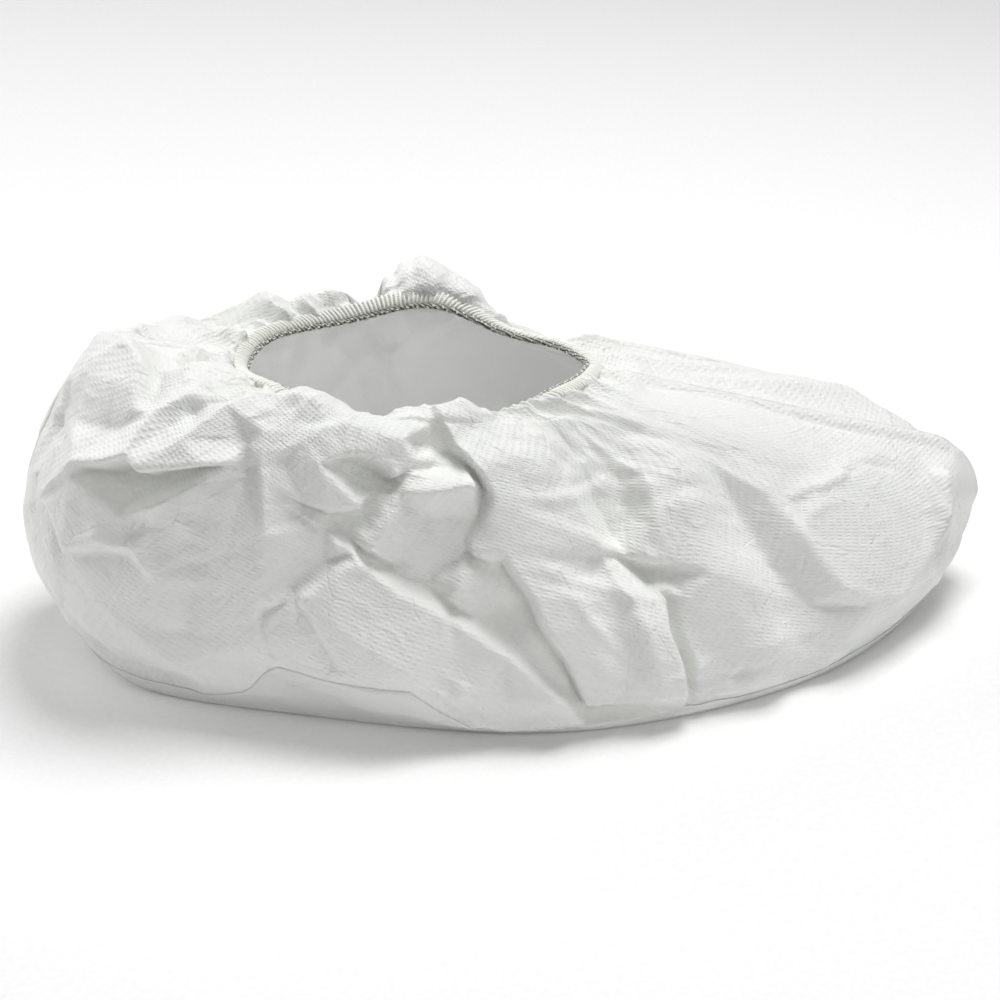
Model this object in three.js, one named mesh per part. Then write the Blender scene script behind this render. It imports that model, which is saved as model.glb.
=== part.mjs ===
// An anti-slip overshoe: a roomy white film-laminate cover that is pulled over a shoe.
// Millimetres, +X towards the toe, +Y to the wearer's left, +Z up. The origin is on the floor, under
// the flat middle of the sole. The right side is at -Y and the left side is at +Y.
import * as THREE from "three";

// Driving dimensions.
const fabricWall = 1.5; // the laminate, thicker than the real film so that it stays a solid wall
const soleWall = 1.6;
const seamGap = 0.3; // between two pieces that are sewn together
const soleGap = 0.5; // wider along the sole, whose edge has fewer steps than the panel above it
const hemWidth = 5;
const hemThickness = 2.8;
const soleAcross = [-1, -0.86, -0.6, 0, 0.6, 0.86, 1]; // strips of the sole, as shares of its half width
const solePadTo = 0.6; // outside this share its edge turns up
const creaseRadius = 3; // rounding of each fold's crest

// Mesh density.
const rightColumns = 60;
const leftColumns = 30;
const rightRows = 26;
const leftRows = 11;
const hemSides = 6;

// The wall's sections, in order round the shoe from the toe over the right side, the heel and the left
// side. Each row is one section from the sole's edge up to the opening, as [x, y, z] points.
const sections = [
  { name: "toe", soleEdge: [171, 0, 16], belly: [178, 0, 35], shoulder: [170, 0, 52], crown: [112, 0, 71],
    throat: [52, 0, 89], rim: [32, 0, 97] },
  { name: "toeRight", soleEdge: [148, -28, 5], belly: [155, -31, 16], shoulder: [148, -30, 40],
    crown: [104, -24, 68], throat: [42, -20, 93], rim: [24, -15, 99] },
  { name: "ballRight", soleEdge: [100, -63, 2.2], belly: [100, -69, 15], shoulder: [92, -60, 40],
    crown: [66, -40, 72], throat: [26, -33, 95], rim: [6, -29, 100] },
  { name: "waistRight", soleEdge: [14, -82, 2.2], belly: [12, -84, 15], shoulder: [6, -72, 48],
    crown: [-4, -54, 84], throat: [-13, -43, 101], rim: [-20, -37, 98] },
  { name: "ankleRight", soleEdge: [-74, -60, 2.2], belly: [-72, -72, 22], shoulder: [-68, -68, 56],
    crown: [-64, -56, 90], throat: [-58, -44, 108], rim: [-52, -37, 103] },
  { name: "heelRight", soleEdge: [-138, -30, 4], belly: [-148, -38, 25], shoulder: [-146, -40, 66],
    crown: [-118, -40, 103], throat: [-92, -34, 112], rim: [-77, -26, 109] },
  { name: "heel", soleEdge: [-152, 0, 12], belly: [-166, 0, 38], shoulder: [-165, 0, 72],
    crown: [-141, 0, 109], throat: [-106, 0, 113], rim: [-87, 0, 103] },
  { name: "heelLeft", soleEdge: [-138, 28, 4], belly: [-150, 36, 28], shoulder: [-146, 38, 70],
    crown: [-120, 34, 107], throat: [-93, 30, 110], rim: [-78, 24, 103] },
  { name: "ankleLeft", soleEdge: [-74, 54, 2.2], belly: [-72, 66, 22], shoulder: [-68, 64, 58],
    crown: [-62, 54, 94], throat: [-56, 44, 107], rim: [-50, 37, 102] },
  { name: "waistLeft", soleEdge: [10, 64, 2.2], belly: [8, 72, 20], shoulder: [2, 66, 56],
    crown: [-8, 54, 92], throat: [-16, 44, 112], rim: [-20, 37, 106] },
  { name: "ballLeft", soleEdge: [98, 60, 2.2], belly: [100, 66, 19], shoulder: [94, 62, 48],
    crown: [72, 45, 77], throat: [30, 32, 91], rim: [6, 27, 98] },
  { name: "toeLeft", soleEdge: [150, 27, 5], belly: [158, 31, 19], shoulder: [152, 30, 48],
    crown: [110, 27, 74], throat: [46, 20, 91], rim: [24, 15, 97] },
];
const levelNames = ["soleEdge", "belly", "shoulder", "crown", "throat", "rim"];
const heelStation = 6;
const lastStation = sections.length;

// The main folds and dents. A line runs over the wall through [station, height] points: station counts
// the sections from the toe, and height is 0 at the sole's edge and 1 at the opening. The crest stands
// out by rise (a valley has a minus) and falls to nothing over left and right, in mm, as seen from
// outside with the line's first point up. fadeIn and fadeOut are shares of the line's length.
const folds = [
  { name: "ridge below the opening's back corner", line: [[4.95, 0.97], [4.42, 0.66], [4.26, 0.49], [4.2, 0.28]],
    rise: 8, left: 30, right: 18, fadeIn: 0.15, fadeOut: 0.4 },
  { name: "long diagonal ridge", line: [[4.3, 0.66], [3.79, 0.48], [3.42, 0.38], [3.18, 0.28], [2.97, 0]],
    rise: 8, left: 30, right: 18, fadeIn: 0.3, fadeOut: 0 },
  { name: "hollow in front of the diagonal ridge", line: [[3.62, 0.56], [3.25, 0.42], [2.98, 0.2], [2.85, 0.03]],
    rise: -6, left: 14, right: 18, fadeIn: 0.3, fadeOut: 0.2 },
  { name: "roll below the opening", line: [[3, 0.88], [2.95, 0.62], [2.8, 0.42], [2.66, 0.16]],
    rise: 8, left: 20, right: 24, fadeIn: 0.15, fadeOut: 0.25 },
  { name: "deep gather", line: [[3.42, 0.92], [3.2, 0.66], [3.25, 0.5]], rise: -10, left: 16, right: 14,
    fadeIn: 0.2, fadeOut: 0.4 },
  { name: "peak beside the deep gather", line: [[3.66, 0.92], [3.5, 0.62], [3.4, 0.45]], rise: 6, left: 14,
    right: 14, fadeIn: 0.2, fadeOut: 0.4 },
  { name: "valley that ends in a V", line: [[3.95, 0.86], [3.9, 0.68], [3.62, 0.58]], rise: -8, left: 15,
    right: 14, fadeIn: 0.2, fadeOut: 0.4 },
  { name: "crease between the first rolls", line: [[2.85, 0.66], [2.7, 0.48], [2.57, 0.34], [2.56, 0.06]],
    rise: -6, left: 18, right: 14, fadeIn: 0.35, fadeOut: 0.1 },
  { name: "second roll", line: [[2.35, 0.88], [2.48, 0.62], [2.44, 0.45], [2.4, 0.2]], rise: 8, left: 16,
    right: 20, fadeIn: 0.2, fadeOut: 0.3 },
  { name: "pocket under the second roll", line: [[2.68, 0.47], [2.6, 0.42], [2.36, 0.44]], rise: -6, left: 14,
    right: 12, fadeIn: 0.3, fadeOut: 0.3 },
  { name: "valley towards the ball", line: [[2.12, 0.76], [2.2, 0.5], [2.15, 0.22]], rise: -6, left: 18,
    right: 20, fadeIn: 0.3, fadeOut: 0.3 },
  { name: "third roll", line: [[1.75, 0.76], [1.92, 0.5], [1.9, 0.26]], rise: 5, left: 20, right: 24,
    fadeIn: 0.35, fadeOut: 0.4 },
  { name: "toe facet", line: [[0.3, 0.56], [0.55, 0.5], [1.1, 0.5], [1.6, 0.48]], rise: -4, left: 22,
    right: 24, fadeIn: 0.3, fadeOut: 0.35 },
  { name: "toe pleat", line: [[0.1, 0.44], [0.75, 0.42], [1, 0.26]], rise: 4, left: 14, right: 14,
    fadeIn: 0.3, fadeOut: 0.4 },
  { name: "heel's overhanging edge", line: [[5.75, 0.54], [5.3, 0.57], [4.87, 0.6], [4.4, 0.66]], rise: 10,
    left: 15, right: 32, fadeIn: 0.25, fadeOut: 0.1 },
  { name: "dent under that edge", line: [[5.35, 0.5], [4.85, 0.46], [4.42, 0.57]], rise: -13, left: 34,
    right: 15, fadeIn: 0.2, fadeOut: 0.2 },
  { name: "ridge on the heel's back", line: [[5.3, 0.52], [5.5, 0.38], [5.5, 0.26]], rise: 4, left: 16,
    right: 16, fadeIn: 0.3, fadeOut: 0.5 },
  { name: "flap over the heel", line: [[6.2, 0.8], [5.95, 0.72], [5.6, 0.66], [5.3, 0.62]], rise: 4, left: 16,
    right: 16, fadeIn: 0.3, fadeOut: 0.3 },
  { name: "gather behind the corner", line: [[5.5, 0.96], [5.3, 0.8], [5.1, 0.7]], rise: -6, left: 14,
    right: 14, fadeIn: 0.2, fadeOut: 0.4 },
  { name: "hollow above the sole at the heel", line: [[4.95, 0.3], [4.6, 0.2], [4.3, 0.24]], rise: -4, left: 16,
    right: 20, fadeIn: 0.3, fadeOut: 0.3 },
  { name: "drawn-in edge", line: [[3.75, 0.2], [3.55, 0.06], [3.45, 0]], rise: -4, left: 26, right: 26,
    fadeIn: 0.4, fadeOut: 0 },
  { name: "puff over the left side", line: [[9.5, 0.84], [9.15, 0.82], [8.8, 0.83], [8.5, 0.86]],
    rise: 7, left: 18, right: 18, fadeIn: 0.35, fadeOut: 0.35 },
  { name: "left gather", line: [[9.85, 0.95], [9.75, 0.72], [9.6, 0.5]], rise: -7, left: 20, right: 20,
    fadeIn: 0.2, fadeOut: 0.4 },
  { name: "left roll", line: [[10.3, 0.5], [10.15, 0.35], [10, 0.12]], rise: 5, left: 24, right: 24,
    fadeIn: 0.2, fadeOut: 0.3 },
  { name: "left valley", line: [[8.3, 0.93], [8.35, 0.7], [8.7, 0.35]], rise: -7, left: 22, right: 22,
    fadeIn: 0.2, fadeOut: 0.4 },
  { name: "left ridge", line: [[8, 0.95], [8.1, 0.66], [8.5, 0.3]], rise: 6, left: 22, right: 24,
    fadeIn: 0.2, fadeOut: 0.4 },
  { name: "left heel dent", line: [[7.7, 0.62], [7.2, 0.5], [6.7, 0.54]], rise: -8, left: 18, right: 24,
    fadeIn: 0.3, fadeOut: 0.3 },
  { name: "left back gather", line: [[6.75, 0.95], [6.8, 0.82], [7, 0.7]], rise: -5, left: 16, right: 16,
    fadeIn: 0.2, fadeOut: 0.4 },
];

// One smooth line round the shoe for each level. It starts and ends at the toe, where it has a ridge.
const levelLines = levelNames.map((name) => {
  const round = [...sections, sections[0]].map((section) => new THREE.Vector3(...section[name]));
  return new THREE.CatmullRomCurve3(round, false, "centripetal");
});

// The wall without folds.
function smoothWall(station, height) {
  const points = levelLines.map((line) => line.getPoint(station / lastStation));
  return new THREE.CatmullRomCurve3(points, false, "centripetal").getPoint(height);
}

// The wall's outward direction. On the toe and heel seams it lies in the middle plane, so that the two
// side panels meet edge to edge.
function outward(station, height) {
  const step = 0.02;
  const s0 = Math.max(0, station - step);
  const s1 = Math.min(lastStation, station + step);
  const h0 = Math.max(0, height - step);
  const h1 = Math.min(1, height + step);
  const along = smoothWall(s1, height).sub(smoothWall(s0, height));
  const up = smoothWall(station, h1).sub(smoothWall(station, h0));
  const direction = up.cross(along);
  if (station === 0 || station === heelStation || station === lastStation) direction.y = 0;
  return direction.normalize();
}

// Each fold's line as short straight steps on the smooth wall.
const foldPaths = folds.map((fold) => {
  const steps = [];
  for (let i = 0; i + 1 < fold.line.length; i++)
    for (let k = 0; k < 5; k++) {
      const station = THREE.MathUtils.lerp(fold.line[i][0], fold.line[i + 1][0], k / 5);
      const height = THREE.MathUtils.lerp(fold.line[i][1], fold.line[i + 1][1], k / 5);
      steps.push({ at: smoothWall(station, height), out: outward(station, height) });
    }
  const [station, height] = fold.line.at(-1);
  steps.push({ at: smoothWall(station, height), out: outward(station, height) });
  return { fold, steps };
});

// How far the folds push the wall out at a point.
function foldRise(point, normal) {
  let total = 0;
  for (const { fold, steps } of foldPaths) {
    let nearest = { distance: Infinity };
    for (let i = 0; i + 1 < steps.length; i++) {
      const line = new THREE.Line3(steps[i].at, steps[i + 1].at);
      const share = line.closestPointToPointParameter(point, true);
      const away = point.clone().sub(line.at(share, new THREE.Vector3()));
      if (away.length() < nearest.distance) {
        const side = line.delta(new THREE.Vector3()).cross(normal).dot(away);
        nearest = { distance: away.length(), side, where: (i + share) / (steps.length - 1), out: steps[i].out };
      }
    }
    const width = nearest.side > 0 ? fold.left : fold.right;
    const distance = Math.hypot(nearest.distance, creaseRadius) - creaseRadius;
    if (distance >= width) continue;
    const flank = (1 - distance / width) ** 1.4;
    const start = fold.fadeIn ? Math.min(1, nearest.where / fold.fadeIn) : 1;
    const end = fold.fadeOut ? Math.min(1, (1 - nearest.where) / fold.fadeOut) : 1;
    const sameSide = THREE.MathUtils.smoothstep(nearest.out.dot(normal), 0, 0.4);
    total += fold.rise * flank * start * end * sameSide;
  }
  return total;
}

// Small gathers all round the opening, where the elastic draws the edge together.
function gatherRise(station, height) {
  const near = THREE.MathUtils.smoothstep(height, 0.78, 1);
  return near * (1.1 * Math.sin(station * 10.5) + 0.8 * Math.sin(station * 17 + 1.3));
}

function foldedWall(station, height) {
  const point = smoothWall(station, height);
  const normal = outward(station, height);
  normal.z *= THREE.MathUtils.smoothstep(height, 0, 0.12); // the lower edge only moves sideways
  normal.normalize();
  const fromSeam = Math.min(station, Math.abs(station - heelStation), lastStation - station);
  const free = Math.min(1, 4 * fromSeam); // the seams hold the folds back
  const held = 1 - 0.65 * THREE.MathUtils.smoothstep(height, 0.86, 1); // and so does the elastic
  const rise = foldRise(point, normal) * (0.4 + 0.6 * free) * held + gatherRise(station, height) * free;
  return { outer: point.clone().addScaledVector(normal, rise), normal };
}

// Stations between two seams, evenly spaced in mm along the shoulder.
function evenStations(from, to, count) {
  const samples = 240;
  const lengths = [0];
  const shoulder = (k) => smoothWall(from + ((to - from) * k) / samples, 0.55);
  for (let k = 1; k <= samples; k++) lengths.push(lengths[k - 1] + shoulder(k).distanceTo(shoulder(k - 1)));
  const stations = [];
  for (let i = 0, k = 0; i <= count; i++) {
    const wanted = (lengths[samples] * i) / count;
    while (k < samples - 1 && lengths[k + 1] < wanted) k++;
    const share = Math.min(1, (wanted - lengths[k]) / (lengths[k + 1] - lengths[k]));
    stations.push(i === count ? to : from + ((to - from) * (k + share)) / samples);
  }
  return stations;
}

// A closed solid from two matching grids of points, the outer one and the inner one.
function shell(outer, inner) {
  const columns = outer.length;
  const rows = outer[0].length;
  const positions = [...outer.flat(), ...inner.flat()].flatMap((point) => point.toArray());
  const index = [];
  const out = (i, j) => i * rows + j;
  const into = (i, j) => columns * rows + i * rows + j;
  const quad = (a, b, c, d) => index.push(a, b, c, a, c, d);
  for (let i = 0; i + 1 < columns; i++)
    for (let j = 0; j + 1 < rows; j++) {
      quad(out(i, j), out(i, j + 1), out(i + 1, j + 1), out(i + 1, j));
      quad(into(i, j), into(i + 1, j), into(i + 1, j + 1), into(i, j + 1));
    }
  for (let i = 0; i + 1 < columns; i++) {
    quad(out(i, 0), out(i + 1, 0), into(i + 1, 0), into(i, 0));
    quad(out(i + 1, rows - 1), out(i, rows - 1), into(i, rows - 1), into(i + 1, rows - 1));
  }
  for (let j = 0; j + 1 < rows; j++) {
    quad(out(0, j + 1), out(0, j), into(0, j), into(0, j + 1));
    quad(out(columns - 1, j), out(columns - 1, j + 1), into(columns - 1, j + 1), into(columns - 1, j));
  }
  const geometry = new THREE.BufferGeometry();
  geometry.setAttribute("position", new THREE.Float32BufferAttribute(positions, 3));
  geometry.setIndex(index);
  return geometry;
}

// A side panel between the toe and heel seams.
function sidePanel(stations, rows, seamSide) {
  const outer = [];
  const inner = [];
  stations.forEach((station, i) => {
    const onSeam = i === 0 || i === stations.length - 1;
    const outerColumn = [];
    const innerColumn = [];
    for (let j = 0; j <= rows; j++) {
      const { outer: point, normal } = foldedWall(station, j / rows);
      if (onSeam) point.y = (seamSide * seamGap) / 2;
      outerColumn.push(point);
      innerColumn.push(point.clone().addScaledVector(normal, -fabricWall));
    }
    outer.push(outerColumn);
    inner.push(innerColumn);
  });
  return shell(outer, inner);
}

// The sole: flat in the middle, and turned up at its edge, its toe and its heel to meet the side panels.
function solePanel() {
  const under = [];
  const over = [];
  const rows = leftStations.length - 1;
  for (let i = 0; i <= rows; i++) {
    const right = foldedWall(rightStations[(i * rightColumns) / rows], 0).outer;
    const left = foldedWall(leftStations[rows - i], 0).outer;
    const underRow = [];
    const overRow = [];
    for (const across of soleAcross) {
      const point = right.clone().lerp(left, (across + 1) / 2);
      const turnUp = Math.max(0, (Math.abs(across) - solePadTo) / (1 - solePadTo)) ** 2;
      const ends = Math.max(0, (point.x - 132) / 39, (-point.x - 118) / 34) ** 2;
      const edge = Math.max(0, point.z - soleGap - soleWall);
      const middle = Math.min(edge, (point.x > 0 ? 14.1 : 10.1) * ends);
      point.z = THREE.MathUtils.lerp(middle, edge, turnUp);
      underRow.push(point);
      overRow.push(point.clone().setZ(point.z + soleWall));
    }
    under.push(underRow);
    over.push(overRow);
  }
  return shell(over, under);
}

// The gathered elastic edge: a flattened cord that follows the opening.
function elasticHem(stations) {
  const positions = [];
  const index = [];
  stations.forEach((station) => {
    const { outer: top, normal } = foldedWall(station, 1);
    const below = smoothWall(station, 0.97);
    const onward = smoothWall(station, 1).sub(below).normalize();
    const centre = top.clone().addScaledVector(normal, -fabricWall / 2);
    centre.addScaledVector(onward, seamGap + hemWidth / 2);
    for (let k = 0; k < hemSides; k++) {
      const angle = (2 * Math.PI * k) / hemSides;
      const point = centre.clone().addScaledVector(onward, (Math.cos(angle) * hemWidth) / 2);
      point.addScaledVector(normal, (Math.sin(angle) * hemThickness) / 2);
      positions.push(...point.toArray());
    }
  });
  for (let i = 0; i < stations.length; i++)
    for (let k = 0; k < hemSides; k++) {
      const next = (i + 1) % stations.length;
      const a = i * hemSides + k;
      const b = next * hemSides + k;
      const c = next * hemSides + ((k + 1) % hemSides);
      const d = i * hemSides + ((k + 1) % hemSides);
      index.push(a, b, c, a, c, d);
    }
  const geometry = new THREE.BufferGeometry();
  geometry.setAttribute("position", new THREE.Float32BufferAttribute(positions, 3));
  geometry.setIndex(index);
  return geometry;
}

const rightStations = evenStations(0, heelStation, rightColumns);
const leftStations = evenStations(heelStation, lastStation, leftColumns);
const cover = new THREE.Group();
function addPiece(name, geometry, colour, roughness) {
  const piece = new THREE.Mesh(geometry, new THREE.MeshStandardMaterial({ color: colour, roughness, metalness: 0 }));
  piece.name = name;
  cover.add(piece);
}
addPiece("side_panel_right", sidePanel(rightStations, rightRows, -1), 0xf2f3f1, 0.6);
addPiece("side_panel_left", sidePanel(leftStations, leftRows, 1), 0xf2f3f1, 0.6);
addPiece("sole_panel", solePanel(), 0xe9eae6, 0.75);
addPiece("elastic_hem", elasticHem([...rightStations, ...leftStations.slice(1, -1)]), 0xd9d9d2, 0.85);
export default cover;
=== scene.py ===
# A worn anti-slip overshoe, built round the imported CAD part: two folded side panels, the sole,
# the elastic hem and its overlock thread, then a plain studio.
import math

import bmesh
import bpy
import numpy as np
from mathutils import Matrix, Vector
from mathutils.geometry import delaunay_2d_cdt


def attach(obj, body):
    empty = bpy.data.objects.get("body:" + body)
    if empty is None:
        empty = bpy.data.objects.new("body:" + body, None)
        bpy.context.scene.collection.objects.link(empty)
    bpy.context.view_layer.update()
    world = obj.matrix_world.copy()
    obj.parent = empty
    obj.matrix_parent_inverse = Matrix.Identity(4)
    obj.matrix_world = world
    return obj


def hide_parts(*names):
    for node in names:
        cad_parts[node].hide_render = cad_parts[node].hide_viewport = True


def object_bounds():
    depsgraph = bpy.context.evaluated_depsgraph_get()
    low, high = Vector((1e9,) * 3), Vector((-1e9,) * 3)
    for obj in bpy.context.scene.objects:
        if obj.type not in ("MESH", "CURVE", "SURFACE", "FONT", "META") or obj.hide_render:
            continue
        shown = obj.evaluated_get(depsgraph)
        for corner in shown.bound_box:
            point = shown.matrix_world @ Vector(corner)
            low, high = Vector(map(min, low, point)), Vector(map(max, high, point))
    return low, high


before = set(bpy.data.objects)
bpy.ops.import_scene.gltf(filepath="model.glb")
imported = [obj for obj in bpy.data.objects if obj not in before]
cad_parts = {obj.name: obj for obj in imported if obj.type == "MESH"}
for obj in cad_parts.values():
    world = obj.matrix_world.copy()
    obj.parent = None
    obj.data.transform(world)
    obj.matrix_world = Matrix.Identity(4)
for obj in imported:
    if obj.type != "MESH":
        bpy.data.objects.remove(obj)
cadBox = [list(corner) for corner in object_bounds()]
partLength = 345.7  # mm from heel to toe
mm = (cadBox[1][0] - cadBox[0][0]) / partLength  # one millimetre of the part, in the frame's metres
scene = bpy.context.scene
rng = np.random.default_rng(11)

# Sections round the shoe from the toe over the right side, the heel and the left side. Each row goes
# from the sole's edge over belly, shoulder, crown and throat to the rim of the opening, in mm.
wallForm = {
    "sections": [
        [(171, 0, 16), (178, 0, 35), (170, 0, 52), (112, 0, 71), (52, 0, 89), (32, 0, 97)],  # toe
        [(148, -28, 5), (155, -31, 16), (148, -30, 40), (104, -24, 68), (42, -20, 93), (24, -15, 99)],
        [(100, -63, 2.2), (100, -69, 15), (92, -60, 40), (66, -40, 72), (26, -33, 95), (6, -29, 100)],  # ball
        # waist
        [(14, -82, 2.2), (12, -84, 15), (6, -72, 48), (-4, -54, 84), (-13, -43, 101), (-20, -37, 98)],
        [(-74, -60, 2.2), (-72, -72, 22), (-68, -68, 56), (-64, -56, 90), (-58, -44, 108), (-52, -37, 103)],
        [(-138, -30, 4), (-148, -38, 25), (-146, -40, 66), (-118, -40, 103), (-92, -34, 112),
         (-77, -26, 109)],
        [(-152, 0, 12), (-166, 0, 38), (-165, 0, 72), (-141, 0, 109), (-106, 0, 113), (-87, 0, 103)],  # heel
        [(-138, 28, 4), (-150, 36, 28), (-146, 38, 70), (-120, 34, 107), (-93, 30, 110), (-78, 24, 103)],
        [(-74, 54, 2.2), (-72, 66, 22), (-68, 64, 58), (-62, 54, 94), (-56, 44, 107), (-50, 37, 102)],
        [(10, 64, 2.2), (8, 72, 20), (2, 66, 56), (-8, 54, 92), (-16, 44, 112), (-20, 37, 106)],  # left waist
        [(98, 60, 2.2), (100, 66, 19), (94, 62, 48), (72, 45, 77), (30, 32, 91), (6, 27, 98)],
        [(150, 27, 5), (158, 31, 19), (152, 30, 48), (110, 27, 74), (46, 20, 91), (24, 15, 97)],
    ],
    "heelStation": 6,
    "lastStation": 12,
}
heelStation, lastStation = wallForm["heelStation"], wallForm["lastStation"]


def curveThrough(rows, share):  # a smooth curve between the middle two of four rows of points
    a, b, c, d = rows
    ab, bc, cd = (np.sqrt(np.linalg.norm(q - p, axis=-1, keepdims=True)) + 1e-9
                  for p, q in ((a, b), (b, c), (c, d)))
    slopeB = ((b - a) / ab - (c - a) / (ab + bc) + (c - b) / bc) * bc
    slopeC = ((c - b) / bc - (d - b) / (bc + cd) + (d - c) / cd) * bc
    curve = b + slopeB * share + (3 * (c - b) - 2 * slopeB - slopeC) * share**2
    return curve + (2 * (b - c) + slopeB + slopeC) * share**3


def padded(points):
    points = np.asarray(points, float)
    return np.concatenate([2 * points[:1] - points[1:2], points, 2 * points[-1:] - points[-2:-1]])


def throughPoints(points, where):
    first = np.clip(where.astype(int), 0, len(points) - 2)
    share = (where - first).reshape((-1,) + (1,) * (np.ndim(points) - 1))
    rows = padded(points)
    return curveThrough([rows[first + k] for k in range(4)], share)


ring = padded(wallForm["sections"] + wallForm["sections"][:1])


def smoothWall(stations, heights):  # the smooth wall's points at stations and heights of one shape
    s, h = np.broadcast_arrays(np.asarray(stations, float), np.asarray(heights, float))
    s, h, shape = s.ravel(), h.ravel(), s.shape
    first = np.clip(s.astype(int), 0, lastStation - 1)
    lines = curveThrough([ring[first + k] for k in range(4)], (s - first)[:, None, None])
    before, after = 2 * lines[:, :1] - lines[:, 1:2], 2 * lines[:, -1:] - lines[:, -2:-1]
    lines = np.concatenate([before, lines, after], axis=1)
    levels = h * (lines.shape[1] - 3)
    first = np.clip(levels.astype(int), 0, lines.shape[1] - 4)
    each = np.arange(len(s))
    points = curveThrough([lines[each, first + k] for k in range(4)], (levels - first)[:, None])
    return points.reshape(shape + (3,))


def smoothStep(value, low, high):
    share = np.clip((value - low) / (high - low), 0, 1)
    return share * share * (3 - 2 * share)


def fromSeam(stations):  # stations between a column and the nearest of the toe and heel seams
    stations = np.asarray(stations, float)
    fromToe = np.minimum(stations, lastStation - stations)
    return np.minimum(fromToe, abs(stations - heelStation))


def outward(stations, heights):  # the wall's outward direction, kept in the middle plane on the seams
    step = 0.02
    s, h = np.broadcast_arrays(np.asarray(stations, float), np.asarray(heights, float))
    along = smoothWall(np.minimum(s + step, lastStation), h) - smoothWall(np.maximum(s - step, 0), h)
    up = smoothWall(s, np.minimum(h + step, 1)) - smoothWall(s, np.maximum(h - step, 0))
    direction = np.cross(up, along)
    direction[..., 1] *= smoothStep(fromSeam(s), 0, 0.12)
    direction[..., 2] *= smoothStep(h, 0, 0.12)  # the lower edge only moves sideways
    return direction / np.linalg.norm(direction, axis=-1, keepdims=True)


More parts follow.
